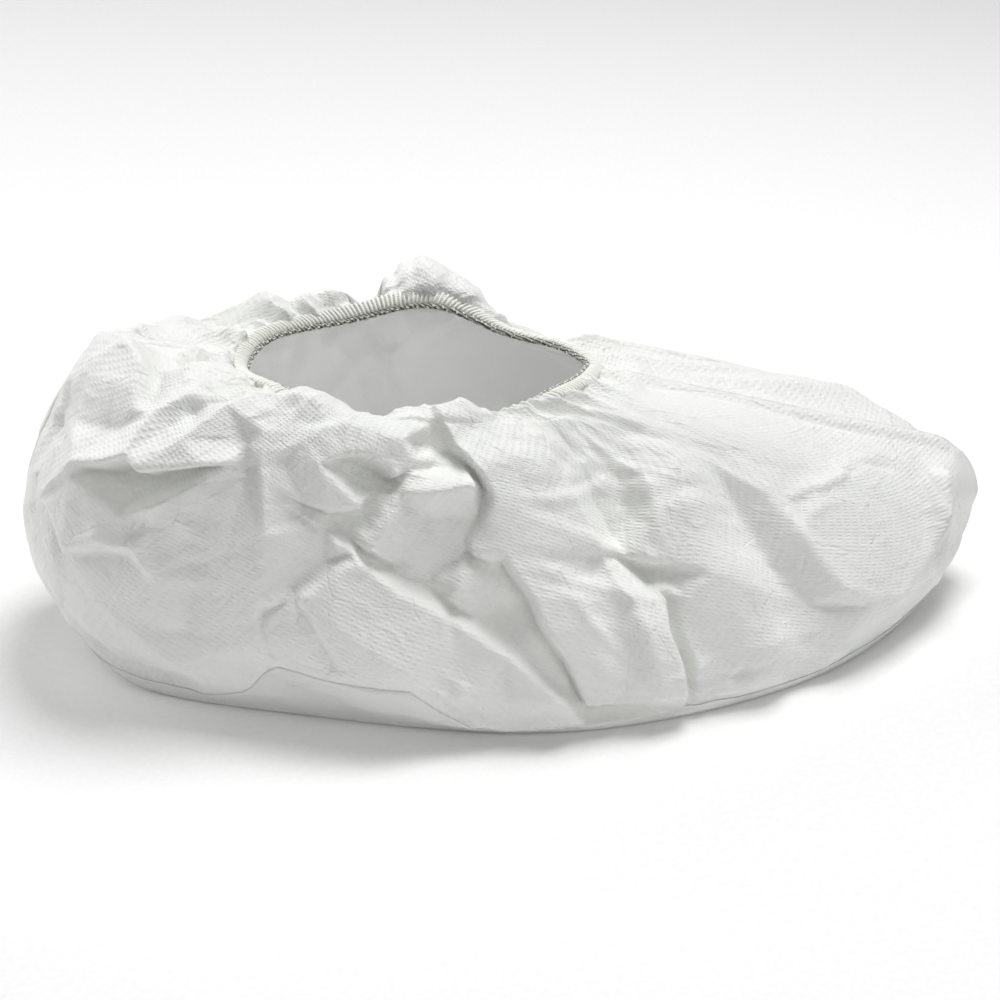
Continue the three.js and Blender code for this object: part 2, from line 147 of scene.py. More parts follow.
# The worn film's creases, as lines of (station, height, rise) points. The rise is how far the film stands
# out from the smooth wall there, in mm, and between the lines the film lies in nearly flat facets.
creaseLines = {
    "heelOverhang": [(5.4, 0.43, 2), (5.23, 0.51, 7), (5.06, 0.53, 8), (4.96, 0.56, 9), (4.84, 0.55, 11),
                     (4.72, 0.57, 9), (4.61, 0.59, 9), (4.49, 0.61, 6)],
    "underHeelEdge": [(5.16, 0.5, -1), (5.05, 0.51, -4), (4.93, 0.53, -5), (4.8, 0.53, -5), (4.72, 0.55, -5),
                      (4.62, 0.57, -3)],
    "heelPocketFloor": [(5.05, 0.5, -2), (4.95, 0.495, -3), (4.82, 0.486, -4), (4.72, 0.522, -4),
                        (4.63, 0.555, -3)],
    "heelPocketLip": [(5.2, 0.485, 4), (5, 0.48, 4), (4.82, 0.468, 4), (4.7, 0.5, 4), (4.6, 0.545, 3),
                      (4.49, 0.59, 1)],
    "heelRib": [(5.15, 0.47, 5), (4.91, 0.45, 4), (4.73, 0.43, 4)],
    "heelTongue": [(5.03, 0.38, 4), (4.86, 0.42, 6), (4.71, 0.43, 7)],
    "underTongue": [(5.03, 0.36, -1), (4.84, 0.385, -3), (4.73, 0.4, 0)],
    "heelLowFacet": [(4.75, 0.35, 1), (4.83, 0.31, 1)],
    "lowFacetLeft": [(4.69, 0.46, 2), (4.59, 0.37, 2), (4.54, 0.28, 0)],
    "lowFacetMiddle": [(4.53, 0.47, 1), (4.48, 0.38, -1), (4.47, 0.29, -1)],
    "lowFacetRight": [(4.38, 0.5, 0), (4.36, 0.4, 1), (4.41, 0.3, 0)],
    "heelPatch": [(6.5, 0.6, 2), (5.96, 0.57, 2), (5.88, 0.63, 6), (5.95, 0.68, 9), (5.76, 0.69, 10),
                  (5.54, 0.69, 9), (5.34, 0.65, 6), (5.2, 0.62, 4)],
    "heelPatchEdge": [(6.3, 0.46, -3), (6.12, 0.47, -3), (5.52, 0.54, -3), (5.22, 0.575, -1)],
    "heelPatchMiddle": [(5.65, 0.61, 2.5)],
    "besidePatch": [(5.9, 0.74, 2), (5.56, 0.725, 2), (5.3, 0.68, 1)],
    "pleatRidge": [(4.85, 0.57, 10), (4.81, 0.58, 9), (4.77, 0.62, 8), (4.74, 0.74, 5), (4.77, 0.8, 2)],
    "pleatValley": [(4.93, 0.62, 3), (4.9, 0.7, 2.5), (4.83, 0.77, 1.5)],
    "pleatTop": [(5.07, 0.63, 5), (5.03, 0.7, 6), (5.16, 0.75, 5), (4.9, 0.83, 3)],
    "besideCorner": [(4.5, 0.65, 1), (4.4, 0.57, -2)],
    "cornerRidge": [(4.74, 0.81, 3), (4.44, 0.69, 5), (4.34, 0.6, 6), (4.25, 0.49, 5), (4.2, 0.33, 2)],
    "flapRidge": [(4.22, 0.8, 3), (4.25, 0.7, 5), (4.3, 0.64, 5)],
    "puffRidge": [(4.24, 0.63, 3), (4.17, 0.68, 6), (4.05, 0.72, 7), (3.91, 0.74, 5)],
    "puffMiddle": [(4.06, 0.63, 7)],
    "puffFoot": [(4.12, 0.57, 2), (3.98, 0.56, 4), (3.82, 0.57, 4)],
    "underPuff": [(4.12, 0.54, -2), (3.97, 0.53, -3), (3.8, 0.54, -3)],
    "notchLip": [(3.93, 0.675, 6), (3.76, 0.68, 6), (3.62, 0.63, 5)],
    "notch": [(3.87, 0.645, -4), (3.72, 0.62, -6), (3.65, 0.6, -4)],
    "secondPuff": [(3.78, 0.7, 6), (3.58, 0.7, 6), (3.54, 0.66, 5)],
    "narrowRidge": [(3.55, 0.63, 4), (3.61, 0.575, 5), (3.69, 0.53, 5), (3.78, 0.485, 4)],
    "besideNarrowRidge": [(3.74, 0.58, -1.5), (3.79, 0.53, -2.5), (3.87, 0.5, -2)],
    "rightOfNarrowRidge": [(3.5, 0.54, 1), (3.6, 0.5, 0)],
    "brightFacetTop": [(3.4, 0.69, -4)],
    "brightFacetFoot": [(3.57, 0.58, 7), (3.42, 0.58, 8), (3.27, 0.59, 7)],
    "brightFacetTip": [(3.27, 0.59, 7)],
    "slit": [(3.35, 0.86, 0), (3.34, 0.78, -1), (3.3, 0.7, -3), (3.22, 0.64, -4), (3.17, 0.58, -4.5),
             (3.23, 0.53, -3.5), (3.31, 0.5, -3)],
    "besideSlit": [(3.26, 0.82, 1.5), (3.23, 0.75, 2.5), (3.2, 0.68, 3.5), (3.14, 0.61, 4), (3.12, 0.56, 3.5),
                   (3.19, 0.51, 2.5), (3.27, 0.47, 1)],
    "grayFacetFoot": [(3.66, 0.45, -3), (3.51, 0.43, -4), (3.34, 0.46, -4)],
    "bandCrest": [(4.29, 0.57, 5), (4.05, 0.52, 4), (3.91, 0.49, 3.5), (3.8, 0.45, 3), (3.67, 0.41, 3),
                  (3.52, 0.38, 3), (3.37, 0.34, 3), (3.22, 0.3, 4), (3.03, 0.21, 5), (2.96, 0.06, 4)],
    "behindBand": [(4.12, 0.53, -1), (3.95, 0.5, -3), (3.81, 0.47, -4), (3.64, 0.43, -4.5), (3.48, 0.4, -4.5),
                   (3.31, 0.36, -4), (3.16, 0.31, -3), (3, 0.22, -2)],
    "bandFoot": [(4.05, 0.38, 6), (3.92, 0.34, 8), (3.67, 0.28, 9), (3.52, 0.23, 8), (3.39, 0.17, 6),
                 (3.26, 0.06, 3)],
    "bandTip": [(4.05, 0.38, 6), (3.91, 0.43, 4), (3.8, 0.45, 4)],
    "behindTip": [(4.1, 0.39, 0), (3.98, 0.45, -1), (3.87, 0.47, 0)],
    "smallPleat": [(3.35, 0.45, 2), (3.4, 0.42, 2), (3.45, 0.39, -4)],
    "longCrease": [(3.28, 0.47, -4), (3.17, 0.46, -5), (3.09, 0.4, -6), (3.07, 0.35, -6), (3, 0.29, -6),
                   (2.95, 0.15, -3)],
    "besideLongCrease": [(3.14, 0.475, 2), (3.06, 0.41, 2), (3.04, 0.355, 2), (2.97, 0.3, 2),
                         (2.91, 0.18, 1)],
    "dentLip": [(2.66, 0.485, 0), (2.61, 0.475, 4.5), (2.53, 0.465, 4.5), (2.46, 0.46, 2)],
    "underDent": [(2.66, 0.465, -2.5), (2.59, 0.445, -4.5), (2.51, 0.445, -3.5), (2.46, 0.45, 1)],
    "belowDent": [(2.57, 0.41, 2), (2.46, 0.39, 2)],
    "besideDent": [(2.38, 0.5, 1), (2.34, 0.43, 2)],
    "sideCrease": [(2.46, 0.6, -1.5), (2.53, 0.53, -2.5), (2.64, 0.49, -2)],
    "peak": [(2.38, 0.6, 2), (2.42, 0.55, 4), (2.48, 0.51, 4.5), (2.56, 0.49, 4.5)],
    "lowCrease": [(2.53, 0.4, -1), (2.55, 0.33, -3), (2.54, 0.26, -4), (2.55, 0.14, -3), (2.56, 0.04, -1)],
    "leftOfLowCrease": [(2.57, 0.39, 3), (2.6, 0.33, 4), (2.585, 0.27, 4), (2.59, 0.18, 3), (2.6, 0.06, 1)],
    "rightOfLowCrease": [(2.5, 0.39, 1), (2.52, 0.33, 1), (2.5, 0.26, 1), (2.51, 0.15, 1), (2.52, 0.05, 0)],
    "toePleat": [(1.63, 0.53, 0), (1.33, 0.545, 1.3), (0.93, 0.545, 1.3), (0.45, 0.52, 0.5)],
    "aboveToePleat": [(1.5, 0.57, -0.4), (1.1, 0.575, -0.4), (0.6, 0.555, 0)],
    "belowToePleat": [(0.32, 0.51, -0.5), (0.42, 0.46, -0.5)],
    "toeDart": [(0.1, 0.415, 1), (0.48, 0.42, 4), (0.8, 0.38, 4), (0.99, 0.34, 1)],
    "leftOfToeDart": [(0.3, 0.46, 0), (0.62, 0.455, -1.5), (0.95, 0.4, -1.5)],
    "rightOfToeDart": [(0.2, 0.35, 0), (0.45, 0.35, -0.8), (0.85, 0.31, -0.4)],
    "toeBandEdge": [(1.62, 0.65, 0.5), (1.82, 0.54, 1.8), (1.82, 0.46, 3), (1.76, 0.35, 4), (1.62, 0.29, 2)],
    "toeBandFoot": [(1.91, 0.63, 0), (2, 0.53, -2.5), (2, 0.44, -4.5), (1.94, 0.33, -5), (1.87, 0.26, -2)],
    "toeEdge": [(0.8, 0.24, 1), (1.43, 0.28, 2.5), (1.73, 0.24, 1)],
    "belowToeEdge": [(0.95, 0.19, -0.5), (1.5, 0.22, -1), (1.84, 0.18, -0.5)],
    "heelFoot": [(5.2, 0.2, 0), (4.9, 0.13, -2), (4.6, 0.1, -3), (4.36, 0.26, 2)],
    "heelFootFacet": [(4.52, 0.22, 3), (4.42, 0.14, 0)],
}
# How far a crease leans over what lies beside it, in mm towards the heel (or the toe, with a minus) and up.
leaning = {
    "heelOverhang": (0, -2), "pleatRidge": (1, -2), "puffFoot": (0, -2.5), "notchLip": (0, -2),
    "brightFacetTip": (-3, -1), "besideSlit": (2.6, 0), "dentLip": (0, -2),
    "besideLongCrease": (2.4, 0), "leftOfLowCrease": (-2.2, 0), "bandTip": (1.5, 1.5),
}
# Between the creases the film is only a little crumpled: loose points on a jittered grid, clear of the lines.
crumple = {
    "alongStep": 0.3, "upStep": 0.13, "clear": 15, "rightRise": 1.0, "leftRise": 2.2,
    "calmToe": 2,  # the station up to which the taut toe crumples less
    "stationWidth": 34, "wallHeight": 130,  # mean mm of one station and of the whole height
    "flattest": 2.5,  # most mm that a facet may cut off the smooth wall
}

# Rounder folds and fine ones: each is a line over the wall as (station, height), and its section across
# that line: how far the crest stands out and how wide the flanks are to the left and right, in mm, as seen
# from outside with the first end up. A valley has a minus. Ends are the shares of the length over which the
# fold fades in and out, and crisp goes from a soft roll at 0 to a sharp crease at 1. A fold may have a drop,
# a trough of that depth beside the crest on the right, a gap away.
foldRow = ("line", "crest", "left", "right", "ends", "crisp", "drop", "gap")
folds = [
    # rolls between the long crease and the toe
    ([(2.99, 0.78), (2.98, 0.68), (2.97, 0.6), (2.95, 0.5), (2.92, 0.42), (2.88, 0.3), (2.86, 0.14)],
     7, 32, 14, (0.25, 0.3), 0),
    ([(2.78, 0.74), (2.77, 0.66), (2.76, 0.54), (2.73, 0.46), (2.69, 0.38), (2.67, 0.28), (2.65, 0.1)],
     5, 13, 26, (0.2, 0.3), 0, 2, 9),
    ([(1.92, 0.74), (2.17, 0.63), (2.21, 0.53), (2.2, 0.44), (2.17, 0.32), (2.16, 0.1)],
     6, 28, 13, (0.35, 0.2), 0.15),
    ([(0.9, 0.8), (1.3, 0.64), (1.3, 0.5), (1.25, 0.36)], 3, 30, 36, (0.3, 0.35), 0),
    # dart and cap crease near the toe
    ([(1.72, 0.53), (1.53, 0.54), (1.08, 0.54)], 1, 1.6, 3, (0.25, 0.05), 0.9),
    ([(1.08, 0.54), (0.75, 0.53), (0.55, 0.48)], -0.8, 1.6, 2, (0.05, 0.3), 0.9),
    ([(0.38, 0.43), (0.55, 0.42), (0.8, 0.39), (1.05, 0.33)], 2.2, 3, 3, (0.15, 0.2), 0.9),
    # toe seam
    ([(0.02, 0.93), (0, 0.68), (0, 0.56), (0, 0.4)], 5, 3, 3, (0.1, 0.1), 1),
    # gathers at the opening's back corner
    ([(6.58, 0.97), (6.48, 0.82), (6.2, 0.74)], 3.5, 8, 9, (0.1, 0.5), 0.7),
    ([(5.95, 0.96), (5.86, 0.83), (5.85, 0.74)], 4, 9, 8, (0.1, 0.5), 0.7),
    ([(5.3, 0.95), (5.45, 0.82), (5.35, 0.73)], 4, 8, 9, (0.1, 0.3), 0.9),
    ([(5.1, 0.95), (5.15, 0.85), (5.1, 0.76)], -4, 7, 7, (0.1, 0.3), 0.8),
    ([(5.7, 0.95), (5.62, 0.82), (5.5, 0.74)], -4, 7, 7, (0.1, 0.4), 0.8),
    # near rim, where the film bulges over the hem
    ([(4.7, 0.9), (4.45, 0.88), (4.2, 0.88), (3.9, 0.9)], 3.5, 8, 12, (0.3, 0.4), 0.3),
    ([(3.75, 0.95), (3.4, 0.94), (3.0, 0.94), (2.6, 0.94)], 6, 9, 11, (0.3, 0.3), 0.2),
    # patch folded in above the waist's lap
    ([(4.21, 0.37), (4.2, 0.31), (4.14, 0.25)], -1.3, 2, 3, (0.2, 0.2), 0.9),
    ([(4.13, 0.41), (4.04, 0.35), (3.95, 0.29), (3.9, 0.25)], -1.2, 3, 2, (0.2, 0.2), 0.9),
    ([(4.22, 0.365), (4.1, 0.38), (3.96, 0.4)], 1.3, 2, 3, (0.2, 0.3), 0.9),
    # left side
    ([(9.6, 0.88), (9.3, 0.84), (9, 0.82), (8.7, 0.82), (8.42, 0.86)], 6, 15, 18, (0.4, 0.12), 0.3),
    ([(9.3, 0.95), (9.25, 0.82), (9.22, 0.68)], 1.6, 4, 5, (0.1, 0.4), 0.9),
    ([(9.1, 0.95), (9.05, 0.82), (9, 0.68)], -1.4, 4, 4, (0.1, 0.4), 0.9),
    ([(8.9, 0.96), (8.87, 0.82), (8.82, 0.7)], 2, 5, 3, (0.1, 0.4), 0.9),
    ([(8.68, 0.95), (8.62, 0.82), (8.6, 0.72)], -1.4, 4, 4, (0.1, 0.4), 0.9),
    ([(8.28, 0.96), (8.28, 0.84), (8.26, 0.7)], -2.5, 6, 4, (0.1, 0.4), 0.6),
    ([(7.52, 0.97), (7.49, 0.86), (7.4, 0.74)], 1.6, 5, 5, (0.1, 0.5), 0.8),
    ([(7.64, 0.97), (7.62, 0.86), (7.58, 0.76)], -2, 4, 4, (0.1, 0.5), 0.8),
    ([(7.78, 0.97), (7.76, 0.87), (7.72, 0.78)], 1.2, 4, 4, (0.1, 0.5), 0.8),
    ([(8.1, 0.97), (8.1, 0.88), (8.12, 0.78)], 0.8, 5, 5, (0.1, 0.5), 0.8),
    ([(9.75, 0.95), (9.7, 0.72), (9.55, 0.5)], -5, 16, 20, (0.2, 0.4), 0.7),
    ([(10.3, 0.5), (10.15, 0.35), (10, 0.12)], 5, 24, 24, (0.2, 0.3), 0.6),
    ([(8.3, 0.93), (8.35, 0.7), (8.7, 0.35)], -7, 22, 22, (0.2, 0.4), 0.7),
    ([(8, 0.95), (8.1, 0.66), (8.5, 0.3)], 6, 22, 24, (0.2, 0.4), 0.7),
    ([(7.7, 0.62), (7.2, 0.5), (6.7, 0.54)], -8, 18, 24, (0.3, 0.3), 0.8),
    ([(6.75, 0.95), (6.8, 0.82), (7, 0.7)], -5, 16, 16, (0.2, 0.4), 0.8),
]
foldForm = {"steps": 5, "crestRadius": 0.7}  # straight steps in each stretch of a line, and mm of rounding
crinkles = {"count": 170, "halfLength": (3, 14), "rise": (0.3, 1.1), "width": (2, 6)}  # mm


def inMm(stations, heights):  # a flat map of the wall in mm, for distances and triangles
    along, up = np.asarray(stations) * crumple["stationWidth"], np.asarray(heights) * crumple["wallHeight"]
    return np.stack([along, up], -1)


def loosePoints():  # jittered points between the crease lines, with small random rises
    lines = [inMm(*np.array(line).T[:2]) for line in creaseLines.values()]
    samples = np.concatenate([throughPoints(line, np.linspace(0, len(line) - 1, 8 * len(line)))
                              if len(line) > 1 else line for line in lines])
    made = []
    for h in np.arange(crumple["upStep"], 0.95, crumple["upStep"]):
        for s in np.arange(crumple["alongStep"], 11.9, crumple["alongStep"]):
            station = s + rng.uniform(-0.1, 0.1)
            height = h + rng.uniform(-0.04, 0.04)
            rise = rng.normal(0, crumple["rightRise"] if station < 6.3 else crumple["leftRise"])
            rise *= 0.4 if station < crumple["calmToe"] else 1
            clear = np.linalg.norm(samples - inMm(station, height), axis=1).min() > crumple["clear"]
            if clear and fromSeam(station) > 0.08:
                made.append((station, height, rise, 0, 0))
    return made


def facetNet():  # crease lines joined into triangles: stations, heights, rises with leans, and each's corners
    points, edges = [], []
    for name, line in creaseLines.items():
        edges += [(len(points) + k, len(points) + k + 1) for k in range(len(line) - 1)]
        points += [spot + leaning.get(name, (0, 0)) for spot in line]
    points += [(s, h, 0, 0, 0) for s in np.arange(0, lastStation + 0.1, 0.5) for h in (0, 1)]  # both edges
    points += [(s, h, 0, 0, 0) for s in (0, lastStation) for h in (0.2, 0.4, 0.6, 0.8)]  # toe seam
    points += loosePoints()
    flat = [Vector(spot) for spot in inMm(*np.array(points).T[:2])]
    spots, _, triangles, origins, _, _ = delaunay_2d_cdt(flat, edges, [], 0, 1e-4, True)
    where = np.array(spots) / (crumple["stationWidth"], crumple["wallHeight"])
    values = [np.mean([points[k][2:] for k in origin], axis=0) if origin else (0, 0, 0) for origin in origins]
    return where[:, 0], np.clip(where[:, 1], 0, 1), np.array(values), np.array(triangles)


def facetedWall(stations, heights):  # rises and leans of the facets on a grid, and how far they cut the curve
    cornerStations, cornerHeights, values, triangles = wallNet
    normals = outward(cornerStations, cornerHeights)
    corners = smoothWall(cornerStations, cornerHeights) + normals * values[:, :1]
    flat = inMm(cornerStations, cornerHeights)
    field = np.zeros((len(heights), len(stations), 3))
    cut = np.zeros(field.shape)
    for triangle in triangles:
        s, h = cornerStations[triangle], cornerHeights[triangle]
        columns = slice(*np.searchsorted(stations, (s.min() - 1e-9, s.max() + 1e-9)))
        rows = slice(*np.searchsorted(heights, (h.min() - 1e-9, h.max() + 1e-9)))
        spots = inMm(*np.meshgrid(stations[columns], heights[rows]))
        if not spots.size:
            continue
        a, b, c = flat[triangle]
        whole = np.cross(b - a, c - a)
        second = np.cross(spots - a, c - a) / whole
        third = np.cross(b - a, spots - a) / whole
        shares = np.stack([1 - second - third, second, third], -1)
        inside = (shares > -1e-6).all(axis=-1)
        field[rows, columns][inside] = (shares @ values[triangle])[inside]
        cut[rows, columns][inside] = (shares @ corners[triangle])[inside]
    return field[..., 0], field[..., 1:], cut


wallNet = facetNet()


def flankShape(share, crisp):  # height of a flank from its crest at 0 to its foot at 1
    left = np.clip(1 - share, 0, 1)
    return crisp * left**1.25 + (1 - crisp) * left * left * (3 - 2 * left)


def addFold(rise, points, normals, fold):
    fold = {"drop": 0, "gap": 0} | dict(zip(foldRow, fold))
    line = fold["line"]
    count = foldForm["steps"] * (len(line) - 1)
    where = throughPoints(line, np.linspace(0, len(line) - 1, count + 1))
    s, h = np.clip(where[:, 0], 0, lastStation), np.clip(where[:, 1], 0, 1)
    path, pathNormals = smoothWall(s, h), outward(s, h)
    reach = max(fold["left"], fold["right"])
    near = np.all((points > path.min(0) - reach) & (points < path.max(0) + reach), axis=1).nonzero()[0]
    if not len(near):
        return
    here, facing = points[near], normals[near]
    best = np.full(len(near), 1e9)
    side, along, alike = np.zeros(len(near)), np.zeros(len(near)), np.zeros(len(near))
    for k in range(len(path) - 1):
        run = path[k + 1] - path[k]
        share = np.clip((here - path[k]) @ run / (run @ run), 0, 1)
        away = here - path[k] - share[:, None] * run
        distance = np.linalg.norm(away, axis=1)
        closer = distance < best
        best[closer] = distance[closer]
        side[closer] = np.einsum("ij,ij->i", np.cross(run, facing), away)[closer]
        along[closer] = (k + share[closer]) / (len(path) - 1)
        alike[closer] = (facing @ pathNormals[k])[closer]
    distance = np.hypot(best, foldForm["crestRadius"]) - foldForm["crestRadius"]
    crest, drop, gap = fold["crest"], fold["drop"], fold["gap"]
    height = crest * flankShape(distance / np.where(side > 0, fold["left"], fold["right"]), fold["crisp"])
    if drop:
        far = -drop * flankShape((best - gap) / (fold["right"] - gap), fold["crisp"])
        slope = crest + (-drop - crest) * np.clip(best / gap, 0, 1)
        height = np.where(side > 0, height, np.where(best < gap, slope, far))
    fadeIn, fadeOut = fold["ends"]
    start = smoothStep(along, -0.01, fadeIn) if fadeIn else 1
    end = smoothStep(1 - along, -0.01, fadeOut) if fadeOut else 1
    rise[near] += height * start * end * smoothStep(alike, 0, 0.4)


gathers = {"finePitch": 3.4, "fineRise": 0.45, "midPitch": 11, "midRise": 2.2}  # mm
# Slow waves along the rim make the pleats uneven: each is (mm of shift, mm for one radian, starting radians).
gatherWobble = [(1.6, 17, 0), (1.1, 7.3, 1)]


def gatherRise(stations, heights):  # pleats that the elastic draws in below the edge, which stays smooth
    around = smoothWall(stations, 1.0)
    arc = np.concatenate([[0], np.cumsum(np.linalg.norm(np.diff(around, axis=0), axis=1))])
    wobble = sum(shift * np.sin(arc / length + start) for shift, length, start in gatherWobble)
    fine = np.sin(2 * math.pi * (arc + wobble) / gathers["finePitch"])
    mid = 1 - 2 * abs(np.sin(math.pi * (arc + 2.4 * wobble) / gathers["midPitch"] + 0.7))
    mid *= 0.55 + 0.45 * np.sin(arc / 23)
    h = np.asarray(heights, float)[:, None]
    return (
        gathers["fineRise"] * smoothStep(h, 0.9, 0.97) * fine
        + gathers["midRise"] * smoothStep(h, 0.76, 0.93) * (1 - smoothStep(h, 0.94, 1)) * mid
    ) * smoothStep(fromSeam(stations), 0, 0.08)


def softened(grid, times):  # a grid of points or numbers, each drawn towards its neighbours
    grid = grid.copy()
    for _ in range(times):
        grid[1:-1] = (grid[:-2] + 2 * grid[1:-1] + grid[2:]) / 4
        grid[:, 1:-1] = (grid[:, :-2] + 2 * grid[:, 1:-1] + grid[:, 2:]) / 4
    return grid


def fineCreases(count, start, end):  # short sharp creases scattered over the film
    made = []
    for _ in range(count):
        station, height = rng.uniform(start + 0.15, end - 0.15), rng.uniform(0.04, 0.9)
        turn, length = rng.uniform(0, math.pi), rng.uniform(*crinkles["halfLength"])
        step = np.array([math.cos(turn) / crumple["stationWidth"], math.sin(turn) / crumple["wallHeight"]])
        step *= length
        middle = np.array([station, height])
        bend = rng.normal(0, 0.12, 2) * abs(step[::-1])
        rise = rng.choice([-1, 1]) * rng.uniform(*crinkles["rise"])
        widths = rng.uniform(*crinkles["width"], 2)
        made.append(([middle - step, middle + bend, middle + step], rise, *widths, (0.4, 0.4), 0.9))
    return made


def foldedWall(stations, heights, creases=()):  # points of the wall with its folds
    smooth, normal = smoothWall(stations, heights[:, None]), outward(stations, heights[:, None])
    rise, lean, cut = facetedWall(stations, heights)
    cut -= smooth + normal * rise[..., None]
    depth = np.linalg.norm(cut, axis=-1, keepdims=True) / crumple["flattest"] + 1e-9
    cut *= np.tanh(depth) / depth
    points, normals = smooth.reshape(-1, 3), normal.reshape(-1, 3)
    rounded, fine = np.zeros(len(points)), np.zeros(len(points))
    for fold in folds:
        addFold(rounded, points, normals, fold)
    for crease in creases:
        addFold(fine, points, normals, crease)
    rise = softened(rise, 1) + rounded.reshape(rise.shape)
    rise *= 0.4 + 0.6 * smoothStep(fromSeam(stations), 0, 0.25)  # lower beside the seams
    rise *= 1 - 0.85 * smoothStep(heights, 0.86, 1)[:, None]  # lower still where the hem draws the film in
    rise *= smoothStep(heights, -0.02, 0.04)[:, None]  # and flat along the sole's edge
    rise += gatherRise(stations, heights)
    inside = smoothStep(heights, 0, 0.12) * smoothStep(1 - heights, 0, 0.12)
    fromToe = np.minimum(stations, lastStation - stations)
    fineShare = smoothStep(fromSeam(stations), 0, 0.15) * (0.4 + 0.6 * smoothStep(fromToe, 1.2, 2.4))
    rise += fine.reshape(rise.shape) * inside[:, None] * fineShare
    along, up = (side / np.linalg.norm(side, axis=-1, keepdims=True)
                 for side in (np.gradient(smooth, axis=1), np.gradient(smooth, axis=0)))
    lean = softened(lean, 1) * inside[:, None, None]
    folded = smooth + normal * rise[..., None] + along * lean[..., :1] + up * lean[..., 1:]
    flattened = inside[:, None] * (0.3 + 0.7 * smoothStep(fromToe, 0.6, 2.4))
    return folded + softened(cut, 1) * flattened[..., None]


def evenly(start, end, count):  # stations spaced along the shoulder, closer together where the creases are
    fine = np.linspace(start, end, 600)
    steps = np.linalg.norm(np.diff(smoothWall(fine, 0.5), axis=0), axis=1)
    steps *= 1 + 0.5 * smoothStep(fine[1:], 1.9, 2.3) * (1 - smoothStep(fine[1:], 5.4, 5.8))
    lengths = np.concatenate([[0], np.cumsum(steps)])
    return np.interp(np.linspace(0, lengths[-1], count + 1), lengths, fine)


def makeMesh(name, points, faces, material, grain=None):
    mesh = bpy.data.meshes.new(name)
    mesh.from_pydata((np.asarray(points) * mm).tolist(), [], faces)
    if grain is not None:
        attribute = mesh.attributes.new("grain", "FLOAT_VECTOR", "POINT")
        attribute.data.foreach_set("vector", np.asarray(grain, np.float32).ravel())
    mesh.materials.append(material)
    mesh.shade_smooth()
    piece = bpy.data.objects.new(name, mesh)
    scene.collection.objects.link(piece)
    return piece


def gridFaces(rows, columns):
    corner = (np.arange(rows - 1)[:, None] * columns + np.arange(columns - 1)).ravel()
    return np.stack([corner, corner + columns, corner + columns + 1, corner + 1], axis=1).tolist()


def thicken(piece, thickness, lining=None):  # gives the film its thickness, and its inner face a lining
    solid = piece.modifiers.new("film", "SOLIDIFY")
    solid.thickness = thickness * mm
    solid.offset = -1
    solid.use_even_offset = False
    if lining:
        piece.data.materials.append(lining)
        solid.material_offset = 1


def linear(code):  # an sRGB hex colour as linear red, green, blue and alpha
    parts = [int(code[k : k + 2], 16) / 255 for k in (1, 3, 5)]
    return tuple(c / 12.92 if c <= 0.04045 else ((c + 0.055) / 1.055) ** 2.4 for c in parts) + (1,)


def addNode(material, kind, settings=None, **links):  # a node with its settings; links are socket=source
    node = material.node_tree.nodes.new("ShaderNode" + kind)
    for key, value in (settings or {}).items():
        if key == "stops":
            for stop, (place, code) in zip(node.color_ramp.elements, value):
                stop.position, stop.color = place, linear(code)
        elif hasattr(node, key):
            setattr(node, key, value)
        else:
            node.inputs[key].default_value = value
    for key, source in links.items():
        material.node_tree.links.new(source, node.inputs[key.replace("_", " ")])
    return node


def makeMaterial(name):
    material = bpy.data.materials.new(name)
    material.use_nodes = True
    material.node_tree.nodes.clear()
    return material


waveRepeat = 2 * math.pi / 20  # a wave texture's own pitch at scale 1

# White microporous film laminated on a nonwoven and embossed with a fine lattice: it reads as matt paper
# with rows of short dashes and thin creases, a little light passes through it, and edges stay crisp.
# The lattice and its dashes are given as mm from one to the next and radians off the film's length, both
# about as coarse as they show. The backing's fibres are finer than that, so they are drawn coarser.
emboss = {"rows": (1.6, 1.2), "dashes": (2.7, -0.65), "depth": 0.2}
thinCreases = {"apart": 21, "width": 0.5, "depth": 0.9}  # mm, mm, and depth as a share of the emboss's
crumples = {"apart": 7, "depth": 8}  # small ridges pressed into the film by handling, as above
laminate = makeMaterial("microporousFilmLaminate")
link = laminate.node_tree.links.new
grain = addNode(laminate, "Attribute", {"attribute_name": "grain"})
lattice = addNode(laminate, "Math", {"operation": "MULTIPLY"})
for socket, (pitch, turn) in zip(lattice.inputs, (emboss["rows"], emboss["dashes"])):
    turned = addNode(laminate, "Mapping", {"Rotation": (0, 0, turn)}, Vector=grain.outputs["Vector"])
    wave = addNode(laminate, "TexWave", {"bands_direction": "X", "Scale": waveRepeat / pitch,
                                         "Distortion": 1.2, "Detail": 1, "Detail Scale": 0.6},
                   Vector=turned.outputs["Vector"])
    link(wave.outputs["Fac"], socket)
cells = addNode(laminate, "TexVoronoi", {"feature": "DISTANCE_TO_EDGE", "Scale": 1 / thinCreases["apart"]},
                Vector=grain.outputs["Vector"])
edges = addNode(laminate, "MapRange", {"From Max": thinCreases["width"] / thinCreases["apart"],
                                       "To Min": 0, "To Max": thinCreases["depth"]},
                Value=cells.outputs["Distance"])
patches = addNode(laminate, "TexNoise", {"Scale": 0.045, "Detail": 2}, Vector=grain.outputs["Vector"])
bare = addNode(laminate, "MapRange", {"From Min": 0.48, "From Max": 0.54, "To Max": thinCreases["depth"]},
               Value=patches.outputs["Fac"])  # where no thin crease shows
creased = addNode(laminate, "Math", {"operation": "MAXIMUM"})
link(edges.outputs["Result"], creased.inputs[0])
link(bare.outputs["Result"], creased.inputs[1])
fibres = addNode(laminate, "TexNoise", {"Scale": 1.6, "Detail": 3}, Vector=grain.outputs["Vector"])
